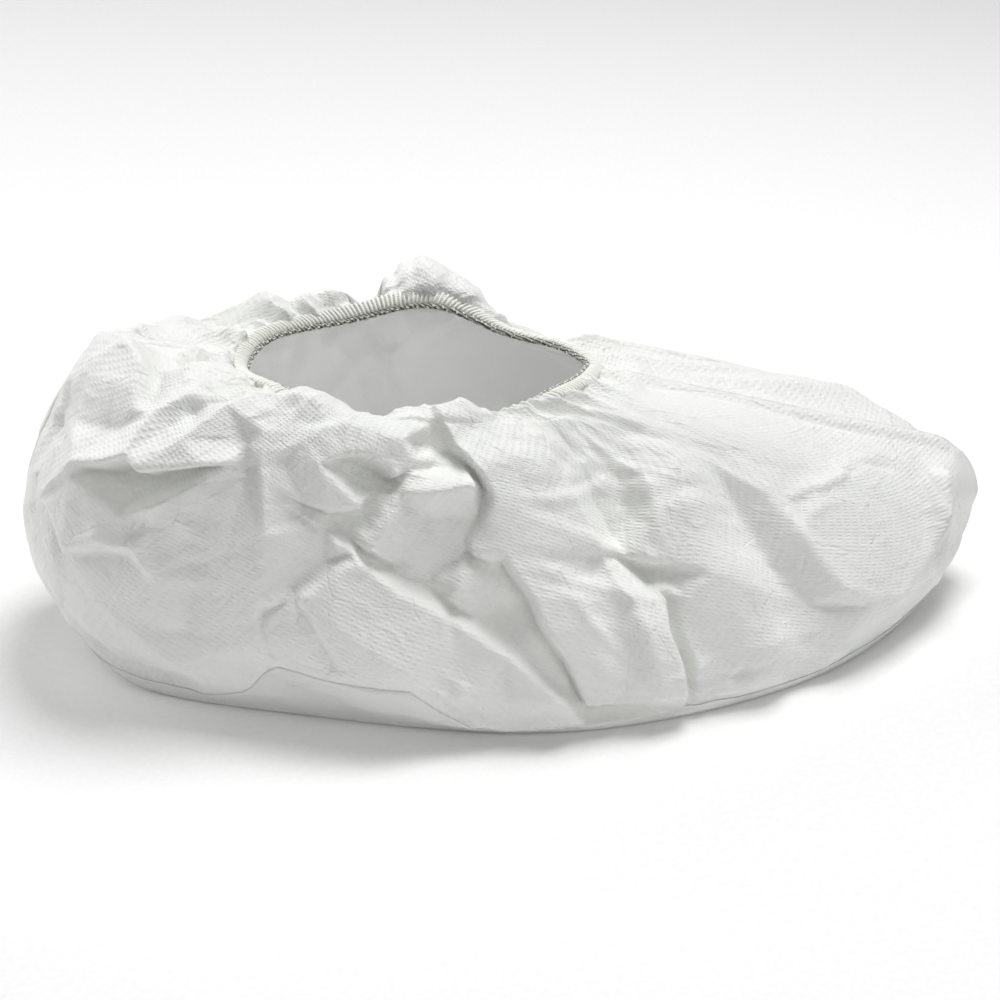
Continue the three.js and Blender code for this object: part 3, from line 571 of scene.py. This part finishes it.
crumpled = addNode(laminate, "TexNoise", {"noise_type": "RIDGED_MULTIFRACTAL", "Scale": 1 / crumples["apart"],
                                          "Detail": 3, "Roughness": 0.6, "Distortion": 0.6},
                   Vector=grain.outputs["Vector"])
crumpledRelief = addNode(laminate, "MapRange", {"From Max": 2, "To Max": crumples["depth"], "clamp": False},
                         Value=crumpled.outputs["Fac"])
relief = lattice.outputs["Value"]
for layer in (creased.outputs["Value"], fibres.outputs["Fac"], crumpledRelief.outputs["Result"]):
    total = addNode(laminate, "Math", {"operation": "ADD"})
    link(relief, total.inputs[0])
    link(layer, total.inputs[1])
    relief = total.outputs["Value"]
tint = addNode(laminate, "ValToRGB", {"stops": [(0.3, "#EDEEEA"), (0.7, "#F1F2EE")]},
               Fac=patches.outputs["Fac"])
bump = addNode(laminate, "Bump", {"Strength": 1.0, "Distance": emboss["depth"] * mm}, Height=relief)
skin = addNode(laminate, "BsdfPrincipled", {"Roughness": 0.5, "IOR": 1.49, "Subsurface Weight": 0.7,
                                            "Subsurface Scale": 0.0007, "Subsurface Radius": (1, 1, 1)},
               Base_Color=tint.outputs["Color"], Normal=bump.outputs["Normal"])
addNode(laminate, "OutputMaterial", None, Surface=skin.outputs["BSDF"])


def fineFinish(name, texture, pitch, stops, relief, shader):  # a finish from one small pattern, pitch in mm
    material = makeMaterial(name)
    place = addNode(material, "TexCoord")
    if texture == "fibres":
        fine = addNode(material, "TexNoise", {"Scale": 1 / (pitch * mm), "Detail": 3},
                       Vector=place.outputs["Object"])
    else:
        fine = addNode(material, "TexWave", {"bands_direction": texture, "Scale": waveRepeat / (pitch * mm),
                                             "Distortion": 2.5, "Detail": 2}, Vector=place.outputs["Object"])
    tint = addNode(material, "ValToRGB", {"stops": stops}, Fac=fine.outputs["Fac"])
    bump = addNode(material, "Bump", {"Strength": 1.0, "Distance": relief * mm}, Height=fine.outputs["Fac"])
    skin = addNode(material, "BsdfPrincipled", shader, Base_Color=tint.outputs["Color"],
                   Normal=bump.outputs["Normal"])
    addNode(material, "OutputMaterial", None, Surface=skin.outputs["BSDF"])
    return material


# The laminate's inner side, a spunbond polypropylene nonwoven: whiter than the film, quite matt and fibrous,
# with its fibres drawn coarser than they are.
nonwoven = fineFinish("spunbondPolypropylene", "fibres", 0.6, [(0.3, "#F7F7F3"), (0.7, "#FDFDFB")], 0.06,
                      {"Roughness": 0.8, "IOR": 1.49, "Subsurface Weight": 0.9, "Subsurface Scale": 0.002,
                       "Subsurface Radius": (1, 1, 1)})
# Cast polyethylene film on the sole and its turned-up edge: unembossed and denser, with a soft gloss. Its
# white is a little lighter than the side film's, partly the film's own colour and partly painted light that
# lifts the shade on the downward-facing lap.
soleFilmPaintedLight = fineFinish("castPolyethyleneFilmPaintedLight", "fibres", 0.9, [(0.3, "#F2F3EF"), (0.7, "#F7F8F5")], 0.09,
                      {"Roughness": 0.42, "IOR": 1.51, "Subsurface Weight": 0.5, "Subsurface Scale": 0.0008,
                       "Subsurface Radius": (1, 1, 1)})
# Woven latex elastic, unbleached: beige-grey rows of picks between the threads, quite matt.
elastic = fineFinish("wovenLatexElastic", "Z", 0.6, [(0.1, "#C9CABF"), (0.9, "#E4E5DD")], 0.1,
                     {"Roughness": 0.85, "IOR": 1.5})
# Twisted polyester cord, grey: its strands give dark and light slanting flecks, and its dark grey is partly
# the cord's own colour and partly painted shade between the hem's threads.
greyCordPaintedShade = fineFinish("twistedPolyesterCordPaintedShade", "DIAGONAL", 0.9, [(0.15, "#56584D"), (0.85, "#C2C3BA")], 0.2,
                        {"Roughness": 0.85, "IOR": 1.55})
# Spun polyester overlock thread, white: fibres with a faint sheen, drawn coarser than the real ones.
thread = fineFinish("spunPolyesterThread", "fibres", 0.35, [(0.3, "#ECECE6"), (0.7, "#F8F8F4")], 0.08,
                    {"Roughness": 0.7, "IOR": 1.55, "Sheen Weight": 0.2})
# Seamless studio paper: white, dead matt, with a faint tooth drawn coarser than the real one.
paper = fineFinish("uncoatedStudioPaper", "fibres", 2, [(0.3, "#F4F4F4"), (0.7, "#F8F8F8")], 0.03,
                   {"Roughness": 0.9, "IOR": 1.5})
print("finishes made")

sidePanels = {
    "thickness": 0.4, "lowest": 0.6,  # mm, and mm above the floor
    "right": {"columns": 320, "rows": 150}, "left": {"columns": 260, "rows": 130},
    "coarser": 0.65,  # share of the columns and rows that the cloth simulation uses
    "frames": 12, "growth": 0.014, "bending": 0.05, "stiffness": 60,
    # How firmly the simulation holds the film in place, from 0 to 1: everywhere, and more at the toe, in the
    # gathers below the hem and just above the sole's edge.
    "held": 0.05, "toeHeld": 0.3, "gathersHeld": 0.3, "footHeld": 0.5,
    "sharpening": 0.7,  # how much of each crease is added again to keep its edge crisp
}


def settle(points, stations):  # how far each point moves as the film, a little oversized, buckles in place
    rows, columns = points.shape[:2]
    sheet = makeMesh("settlingFilm", points.reshape(-1, 3), gridFaces(rows, columns), laminate)
    towardsToe = smoothStep(np.minimum(stations, lastStation - stations), 2.2, 1.2)
    hold = np.round(sidePanels["held"] + sidePanels["toeHeld"] * towardsToe, 2) + np.zeros((rows, 1))
    hold[-9:-3] = sidePanels["gathersHeld"]
    hold[1:3] = sidePanels["footHeld"]
    hold[0] = hold[-3:] = 1  # the sole's edge and the rim
    hold[:, 0] = hold[:, -1] = 1  # the seams
    group = sheet.vertex_groups.new(name="hold")
    for weight in np.unique(hold):
        group.add(np.flatnonzero(hold == weight).tolist(), float(weight), "REPLACE")
    cloth = sheet.modifiers.new("cloth", "CLOTH")
    cloth.settings.quality = 5
    cloth.settings.mass = 0.1
    cloth.settings.tension_stiffness = cloth.settings.compression_stiffness = sidePanels["stiffness"]
    cloth.settings.shear_stiffness = sidePanels["stiffness"] / 2
    cloth.settings.bending_stiffness = sidePanels["bending"]
    cloth.settings.vertex_group_mass = "hold"
    cloth.settings.shrink_min = -sidePanels["growth"]
    cloth.settings.effector_weights.gravity = 0
    cloth.collision_settings.use_collision = False
    for frameNumber in range(1, sidePanels["frames"] + 1):
        scene.frame_set(frameNumber)
    settled = sheet.evaluated_get(bpy.context.evaluated_depsgraph_get()).data
    moved = np.empty(rows * columns * 3)
    settled.vertices.foreach_get("co", moved)
    scene.frame_set(1)
    bpy.data.objects.remove(sheet)
    return moved.reshape(points.shape) / mm - points


def onFinerGrid(values, rows, columns):  # a grid of values spread evenly over more rows and columns
    up, along = np.linspace(0, values.shape[0] - 1, rows), np.linspace(0, values.shape[1] - 1, columns)
    low = np.minimum(np.int64(up), values.shape[0] - 2)
    first = np.minimum(np.int64(along), values.shape[1] - 2)
    share = (up - low)[:, None, None]
    taller = values[low] * (1 - share) + values[low + 1] * share
    share = (along - first)[None, :, None]
    return taller[:, first] * (1 - share) + taller[:, first + 1] * share


def sidePanel(name, start, end, columns, rows):
    stations, heights = evenly(start, end, columns), np.linspace(0, 1, rows + 1)
    points = foldedWall(stations, heights, fineCreases(crinkles["count"], start, end))
    fewColumns, fewRows = int(columns * sidePanels["coarser"]), int(rows * sidePanels["coarser"])
    coarseStations = evenly(start, end, fewColumns)
    coarse = foldedWall(coarseStations, np.linspace(0, 1, fewRows + 1))
    moved = settle(coarse, coarseStations)
    print(name, "settled by up to", round(float(abs(moved).max()), 1), "mm")
    points += softened(onFinerGrid(softened(moved, 4), rows + 1, columns + 1), 1)
    away = points - smoothWall(stations, heights[:, None])
    points += sidePanels["sharpening"] * (away - softened(away, 4))
    points[..., 2] = np.maximum(points[..., 2], sidePanels["lowest"])
    along = np.cumsum(np.linalg.norm(np.diff(points, axis=1, prepend=points[:, :1]), axis=2), axis=1)
    up = np.cumsum(np.linalg.norm(np.diff(points, axis=0, prepend=points[:1]), axis=2), axis=0)
    flatAlong, flatUp = along[len(along) // 2] + 0 * along, up.mean(axis=1, keepdims=True) + 0 * up
    grainPoints = np.stack([flatAlong, flatUp, 0 * up], axis=-1).reshape(-1, 3)
    faces = gridFaces(rows + 1, columns + 1)
    piece = makeMesh(name + "_film", points.reshape(-1, 3), faces, laminate, grainPoints)
    thicken(piece, sidePanels["thickness"], nonwoven)
    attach(piece, "root")
    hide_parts(name)
    return stations, points


rightGrid = sidePanel("side_panel_right", 0, heelStation, **sidePanels["right"])
leftGrid = sidePanel("side_panel_left", heelStation, lastStation, **sidePanels["left"])
print("side panels made")


def wallAt(stations, heights):  # places on the finished side panels
    s, h = np.broadcast_arrays(np.asarray(stations, float), np.asarray(heights, float))
    found = np.empty(s.shape + (3,))
    for chosen, (gridStations, points) in ((s <= heelStation, rightGrid), (s > heelStation, leftGrid)):
        column = np.interp(s[chosen], gridStations, np.arange(len(gridStations)))
        row = h[chosen] * (len(points) - 1)
        i = np.minimum(column.astype(int), len(gridStations) - 2)
        j = np.minimum(row.astype(int), len(points) - 2)
        u, v = (column - i)[:, None], (row - j)[:, None]
        lower = points[j, i] * (1 - u) + points[j, i + 1] * u
        upper = points[j + 1, i] * (1 - u) + points[j + 1, i + 1] * u
        found[chosen] = lower * (1 - v) + upper * v
    return found


# The sole laps up outside the side panels: a narrow edge all round, and a wide smooth band at the waist.
soleForm = {
    "lap": [(0, 0.05), (1.5, 0.045), (3.2, 0.05), (3.38, 0.09), (3.5, 0.15), (3.62, 0.22), (3.9, 0.22),
            (4.14, 0.23), (4.28, 0.12), (4.45, 0.04), (8, 0.04), (10, 0.04), (12, 0.05)],
    "columns": 560, "lapRows": 15, "underRows": 26, "thickness": 0.2, "stand": 0.45,
    "turnUp": 0.4,  # share of the half width over which the edge turns up
    "underEdge": 1.6, "lowest": 0.1,  # mm from the film's edge down to the underside, and above the floor
    "spineInset": 10,  # mm between each end's rise and the end of the middle line
    "toe": (132, 39, 14.1), "heel": (-118, 34, 10.1),  # where each end starts to rise, its length and rise
}


def solePanel():
    stations = np.linspace(0, lastStation, soleForm["columns"] + 1)[:-1]
    lap = np.interp(stations, *np.array(soleForm["lap"]).T)
    rows = []
    for share in np.linspace(1, 0, soleForm["lapRows"]):
        stand = soleForm["stand"] * (0.8 if share == 1 else 1)
        rows.append(wallAt(stations, lap * share) + outward(stations, lap * share) * stand)
    edge = rows[-1]
    spine = edge * (1, 0, 0)
    spine[:, 0] = (spine[:, 0] + np.roll(spine[::-1, 0], 1)) / 2
    inset = soleForm["spineInset"]
    spine[:, 0] = np.clip(spine[:, 0], soleForm["heel"][0] + inset, soleForm["toe"][0] - inset)
    for share in np.linspace(0, 1, soleForm["underRows"])[1:] ** 1.4:
        row = edge + (spine - edge) * share
        toeStart, toeLength, toeRise = soleForm["toe"]
        heelStart, heelLength, heelRise = soleForm["heel"]
        middle = toeRise * (np.maximum(0, row[:, 0] - toeStart) / toeLength) ** 2
        middle += heelRise * (np.maximum(0, heelStart - row[:, 0]) / heelLength) ** 2
        turnUp = max(0, 1 - share / soleForm["turnUp"]) ** 2
        low = np.minimum(edge[:, 2], middle)
        high = np.maximum(edge[:, 2] - soleForm["underEdge"], low)
        row[:, 2] = np.maximum(low + (high - low) * turnUp, soleForm["lowest"])
        rows.append(row)
    grid = np.stack(rows)
    grid = np.concatenate([grid, grid[:, :1]], axis=1)
    around = np.cumsum(np.linalg.norm(np.diff(grid, axis=1, prepend=grid[:, :1]), axis=2), axis=1)
    down = np.cumsum(np.linalg.norm(np.diff(grid, axis=0, prepend=grid[:1]), axis=2), axis=0)
    grainPoints = np.stack([around, down, 0 * down], axis=-1).reshape(-1, 3)
    faces = gridFaces(*grid.shape[:2])
    # The sole film's white, a little lighter than the side film's, is partly painted light on the lap's
    # shade.
    piece = makeMesh("sole_panel_film", grid.reshape(-1, 3), faces, soleFilmPaintedLight, grainPoints)
    shape = bmesh.new()
    shape.from_mesh(piece.data)
    bmesh.ops.remove_doubles(shape, verts=shape.verts, dist=0.02 * mm)
    bmesh.ops.dissolve_degenerate(shape, edges=shape.edges, dist=0.01 * mm)
    bmesh.ops.recalc_face_normals(shape, faces=shape.faces)
    if sum(face.normal.z * face.calc_area() for face in shape.faces) > 0:
        bmesh.ops.reverse_faces(shape, faces=shape.faces)
    shape.to_mesh(piece.data)
    shape.free()
    piece.data.shade_smooth()
    thicken(piece, soleForm["thickness"], nonwoven)
    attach(piece, "root")
    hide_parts("sole_panel")
    return piece


solePanel()
print("sole made")

# The hem: a flat woven elastic folded round the film's edge, overlock thread in close ribs over its outside
# and top, and a looper cord with white flecks along its inside, whose dark grey is partly painted shade.
hemForm = {
    "width": 5, "thickness": 2.3, "ribPitch": 1.45, "ribRadius": 0.46,
    "ribPath": [(0.5, -5.1), (1.15, -4.4), (1.35, -2.9), (1.3, -1.8), (1.05, -1), (0.75, -0.5), (0.45, -0.3)],
    "ribLean": (0.1, 0.08),  # about how far a rib leans from top to foot: mean and spread
    "cordAt": (-0.3, 0.45), "cordRadius": 1.05, "fleckPitch": 0.95, "fleckLength": 0.8, "fleckRadius": 0.28,
    "fleckTurns": (-1.3, 0.2, -0.6, 0.9), "fleckSpread": 0.15,  # radians off the cord's top, in turn
    "tuckedFrom": (1.6, 2.2), "tuckedTo": (4.4, 5),  # stations between which the puffs hide the hem
    "tuckedIn": -2.6,  # mm inwards of the film beside it
}


def insideFilm():  # stations and how far in the hem has to sit there to stay behind the film, in mm
    stations = np.linspace(0, lastStation, 601)
    out = outward(stations, 1.0)
    below = np.stack([wallAt(stations, h) for h in np.linspace(0.92, 1, 7)])
    inward = ((below - below[-1]) * out).sum(axis=-1).min(axis=0)
    inward = np.min([np.roll(inward, k) for k in range(-7, 8)], axis=0)
    return stations, np.mean([np.roll(inward, k) for k in range(-7, 8)], axis=0) + hemForm["tuckedIn"]


hiddenIn = insideFilm()


def alongRim(count):  # evenly spaced places on the rim: points, and directions along, outwards and up
    fine = np.linspace(0, lastStation, 2401)
    line = smoothWall(fine, 1.0)
    arc = np.concatenate([[0], np.cumsum(np.linalg.norm(np.diff(line, axis=0), axis=1))])
    stations = np.interp(np.arange(count) / count * arc[-1], arc, fine)
    out = outward(stations, 1.0)
    up = smoothWall(stations, 1.0) - smoothWall(stations, 0.97)
    up /= np.linalg.norm(up, axis=1, keepdims=True)
    tucked = smoothStep(stations, *hemForm["tuckedFrom"]) * (1 - smoothStep(stations, *hemForm["tuckedTo"]))
    points = wallAt(stations, 1.0)
    points = np.mean([np.roll(points, k, axis=0) for k in range(-3, 4)], axis=0)  # not into each small gather
    points += out * (np.interp(stations, *hiddenIn) * tucked)[:, None]
    along = np.cross(out, up)
    return points, along, out, up, arc[-1]


def closedTubes(name, paths, radius, sides, material, closed=False):  # paths: tubes x points x 3
    forward = np.roll(paths, -1, axis=1) - np.roll(paths, 1, axis=1)
    if not closed:
        forward[:, 0] = paths[:, 1] - paths[:, 0]
        forward[:, -1] = paths[:, -1] - paths[:, -2]
    forward /= np.linalg.norm(forward, axis=2, keepdims=True)
    first = np.cross(forward, (0.31, 0.17, 0.93))  # any direction that no tube runs along
    first /= np.linalg.norm(first, axis=2, keepdims=True)
    second = np.cross(forward, first)
    turn = np.arange(sides) / sides * 2 * math.pi
    ring = first[:, :, None] * np.cos(turn)[:, None] + second[:, :, None] * np.sin(turn)[:, None]
    points = (paths[:, :, None] + ring * radius).reshape(-1, 3)
    tubes, steps = paths.shape[:2]
    faces = []
    for tube in range(tubes):
        start = tube * steps * sides
        for k in range(steps if closed else steps - 1):
            low, high = start + k * sides, start + (k + 1) % steps * sides
            for j in range(sides):
                after = (j + 1) % sides
                faces.append((low + j, low + after, high + after, high + j))
        if not closed:
            faces.append(tuple(start + j for j in reversed(range(sides))))
            faces.append(tuple(start + (steps - 1) * sides + j for j in range(sides)))
    return makeMesh(name, points, faces, material)


def hem():
    count = 420
    points, along, out, up, length = alongRim(count)
    turn = np.linspace(0, 2 * math.pi, 12, endpoint=False)
    across = np.cos(turn) * hemForm["thickness"] / 2
    high = (np.sin(turn) - 1) * hemForm["width"] / 2
    band = points[:, None] + out[:, None] * across[:, None] + up[:, None] * high[:, None]
    band = np.concatenate([band, band[:, :1]], axis=1)
    band = np.concatenate([band, band[:1]])
    piece = makeMesh("elastic_hem_band", band.reshape(-1, 3), gridFaces(*band.shape[:2]), elastic)
    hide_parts("elastic_hem")
    cordOut, cordUp = hemForm["cordAt"]
    cordLine = points + out * cordOut + up * cordUp
    # The cord's dark grey is partly painted shade along the hem's inner side.
    cord = closedTubes("elastic_hem_cord", cordLine[None], hemForm["cordRadius"], 8, greyCordPaintedShade, closed=True)
    ribs = int(length / hemForm["ribPitch"])
    points, along, out, up, _ = alongRim(ribs)
    lean = rng.normal(*hemForm["ribLean"], ribs)
    ribPath = np.array(hemForm["ribPath"])
    ribSteps = np.linspace(0, len(ribPath) - 1, 13)
    path = np.stack([points + out * a + up * b + along * (lean * (-b / 5 - 0.5))[:, None]
                     for a, b in throughPoints(ribPath, ribSteps)], axis=1)
    threads = closedTubes("overlock_ribs", path, hemForm["ribRadius"], 6, thread)
    flecks = int(length / hemForm["fleckPitch"])
    points, along, out, up, _ = alongRim(flecks)
    turns = hemForm["fleckTurns"]
    level = np.choose(np.arange(flecks) % len(turns), turns) + rng.normal(0, hemForm["fleckSpread"], flecks)
    onCord = hemForm["cordRadius"] + 0.1
    inwards, upwards = cordOut - onCord * np.sin(level), cordUp + onCord * np.cos(level)
    start = points + out * inwards[:, None] + up * upwards[:, None]
    half = along * hemForm["fleckLength"] / 2 + up * 0.15
    path = np.stack([start - half, start - out * 0.08, start + half], axis=1)
    dashes = closedTubes("looper_flecks", path, hemForm["fleckRadius"], 5, thread)
    for part in (piece, cord, threads, dashes):
        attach(part, "root")


hem()
print("hem made")

# The camera looks at the target, in mm, from an azimuth and elevation in degrees. Each softbox has a place
# and a size in metres, and a power in watts.
studio = {
    "target": (0, 0, 45), "distance": 800, "azimuth": -8, "elevation": 30, "viewWidth": 357,
    "softboxes": {
        "overheadSoftbox": ((0.25, 0.15, 1.2), 0.55, 12), "heelSoftbox": ((-1.1, 0.35, 0.5), 0.8, 5.2),
        "frontSoftbox": ((0.45, -1.15, 0.8), 0.9, 4.2), "backSoftbox": ((-0.8, 1, 0.75), 0.9, 3),
    },
    "fill": 0.15,
}
floorMesh = bpy.data.meshes.new("floor")
floorMesh.from_pydata([(-40, -40, 0), (40, -40, 0), (40, 40, 0), (-40, 40, 0)], [], [(0, 1, 2, 3)])
floor = bpy.data.objects.new("floor", floorMesh)
scene.collection.objects.link(floor)
floorMesh.materials.append(paper)

target = Vector(studio["target"]) * mm
azimuth, elevation = math.radians(studio["azimuth"]), math.radians(studio["elevation"])
level = math.cos(elevation)
back = Vector((math.sin(azimuth) * level, -math.cos(azimuth) * level, math.sin(elevation)))
cameraData = bpy.data.cameras.new("camera")
cameraData.lens = cameraData.sensor_width * studio["distance"] / studio["viewWidth"]
camera = bpy.data.objects.new("camera", cameraData)
camera.location = target + back * studio["distance"] * mm
camera.rotation_euler = (-back).to_track_quat("-Z", "Y").to_euler()
scene.collection.objects.link(camera)
scene.camera = camera


def softLight(name, place, size, power):  # a square softbox at a place in metres, facing the part
    data = bpy.data.lights.new(name, "AREA")
    data.size, data.energy = size, power
    light = bpy.data.objects.new(name, data)
    light.location = place
    light.rotation_euler = (Vector(place) - target).to_track_quat("Z", "Y").to_euler()
    scene.collection.objects.link(light)


for name, (place, size, power) in studio["softboxes"].items():
    softLight(name, place, size, power)
world = bpy.data.worlds.new("studioFill")
world.use_nodes = True
background = world.node_tree.nodes["Background"]
background.inputs["Color"].default_value = (1, 1, 1, 1)
background.inputs["Strength"].default_value = studio["fill"]
scene.world = world
scene.view_settings.view_transform = "Standard"
print("studio made")
